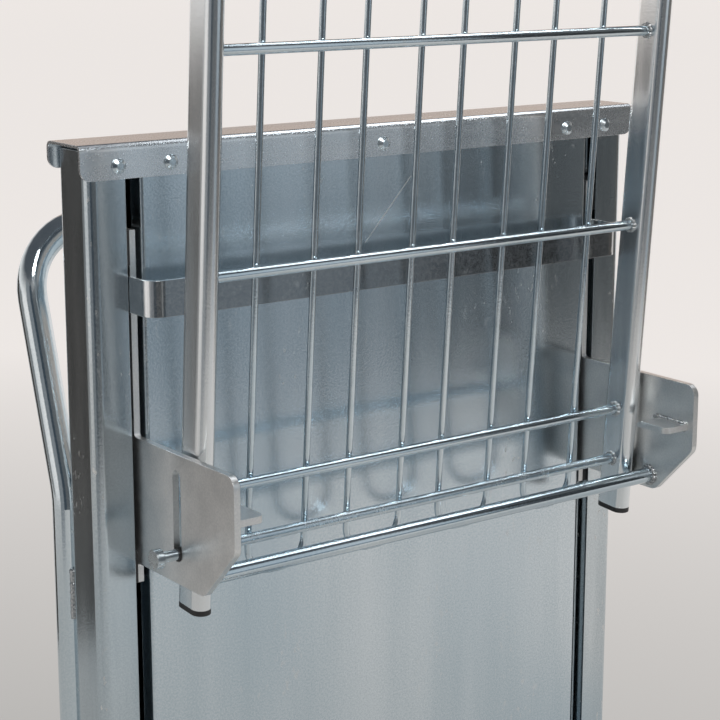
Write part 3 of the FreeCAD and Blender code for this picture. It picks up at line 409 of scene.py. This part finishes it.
SKY_LOW, SKY_HIGH = (0.95, 0.89, 0.85), (0.10, 0.105, 0.115)
SKY_RISE = (0.20, 0.55)
world = bpy.data.worlds.new("studio")
scene.world = world
world.use_nodes = True
air = world.node_tree
direction = add(air, "ShaderNodeTexCoord").outputs["Generated"]
height = add(air, "ShaderNodeSeparateXYZ", {0: direction}).outputs["Z"]
sky = blend(air, remap(air, height, SKY_RISE), rgba(SKY_LOW), rgba(SKY_HIGH))
air.links.new(sky, air.nodes["Background"].inputs["Color"])


# Cards that glow though they are no lamps and that only the metal sees, for painted reflections of the room, and
# soft lamps

def card_material(name, colour):
    """An evenly lit card."""
    # A card that glows evenly in its own colour though it is no lamp, for a painted reflection.
    material, tree, shader = new_material(name)
    feed(tree, shader, Base__Color=rgba(BLACK), Specular__IOR__Level=0.0,
         Emission__Color=rgba(colour), Emission__Strength=1.0)
    return material


def card(name, about, bearings, reach, heights, colour):
    """An upright card that the camera doesn't see, on a circle round a spot on the floor.

    Bearings are in degrees from straight ahead of the cart, positive to its right.
    """
    middle = math.radians((bearings[0] + bearings[1]) / 2)
    half = reach * math.tan(math.radians(bearings[1] - bearings[0]) / 2)
    outward = Vector((math.sin(middle), -math.cos(middle), 0.0))
    side = Vector((outward.y, -outward.x, 0.0)) * half
    centre = Vector(about) + outward * reach
    low, high = (Vector((0.0, 0.0, height)) for height in heights)
    corners = [centre - side + low, centre + side + low, centre + side + high, centre - side + high]
    thing = flat(name, corners, card_material(name, colour))
    thing.visible_camera = False
    thing.visible_shadow = False
    thing.visible_diffuse = False


def lamp(name, centre, towards, size, power, colour):
    data = bpy.data.lights.new(name, "AREA")
    data.shape = "RECTANGLE"
    data.size, data.size_y = size
    data.energy = power
    data.color = colour
    thing = bpy.data.objects.new(name, data)
    aim = (Vector(towards) - Vector(centre)).to_track_quat("-Z", "Y")
    thing.matrix_world = Matrix.Translation(centre) @ aim.to_matrix().to_4x4()
    scene.collection.objects.link(thing)


mast_spot = (0.0, panel_low.y, 0.0)
post_spot = (post_low.x, post_high.y, 0.0)
# Each card paints a light or dark patch of the room into the metal's reflections; the flags are dark sheets for
# painted dark reflections
FAR, NEAR, CLOSE = 2.40, 2.30, 1.20
# Name, spot it stands round, bearings, distance, lower and upper edge, colour
CARDS = (
    ("front_card", mast_spot, (8.0, 39.0), FAR, (0.80, 2.50), (0.53, 0.575, 0.61)),
    ("front_foot", mast_spot, (8.0, 39.0), FAR, (0.20, 0.80), (0.23, 0.27, 0.305)),
    ("ahead_flag", mast_spot, (-36.0, 8.0), FAR, (0.20, 2.20), (0.12, 0.125, 0.13)),
    ("back_card", mast_spot, (118.0, 168.0), FAR, (1.25, 2.50), (0.56, 0.45, 0.385)),
    ("right_flag", mast_spot, (38.5, 47.1), NEAR, (0.34, 2.60), (0.026, 0.027, 0.028)),
    ("right_edge", mast_spot, (47.1, 51.0), NEAR, (0.34, 2.60), (0.13, 0.137, 0.14)),
    ("right_wall", mast_spot, (50.0, 85.0), FAR, (0.20, 2.60), (0.15, 0.14, 0.13)),
    ("side_flag", post_spot, (-172.0, -145.0), CLOSE, (0.29, 1.12), (0.055, 0.049, 0.045)),
    ("side_card", post_spot, (-145.0, -116.0), CLOSE, (0.56, 1.12), (0.27, 0.265, 0.26)),
    ("left_wall", mast_spot, (-80.0, -52.0), FAR, (0.10, 2.20), (0.24, 0.25, 0.26)),
    ("camera_flag", mast_spot, (-54.0, -36.0), NEAR, (0.25, 2.20), (0.05, 0.065, 0.08)),
)
for entry in CARDS:
    card(*entry)
lamp("key", centre=(-0.6, -2.0, 3.2), towards=(0.2, -0.4, 0.4), size=(1.4, 1.0), power=60.0,
     colour=(1.0, 0.985, 0.96))
lamp("fill", centre=(1.4, 0.3, 2.95), towards=(0.0, 0.2, 0.8), size=(1.3, 0.7), power=8.0,
     colour=(0.96, 0.98, 1.0))


# Camera solved from the photograph

CAMERA_SPOT = (-0.8881, -0.9296, 1.2712)
CAMERA_FORWARD = (0.58054, 0.78309, -0.22301)
LENS, SENSOR = 96.57, 36.0
forward = Vector(CAMERA_FORWARD).normalized()
right = forward.cross(Vector((0.0, 0.0, 1.0))).normalized()
up = right.cross(forward)
axes = Matrix((right, up, -forward)).transposed().to_4x4()
camera_data = bpy.data.cameras.new("camera")
camera_data.lens = LENS
camera_data.sensor_width = SENSOR
camera = bpy.data.objects.new("camera", camera_data)
camera.matrix_world = Matrix.Translation(CAMERA_SPOT) @ axes
scene.collection.objects.link(camera)
scene.camera = camera
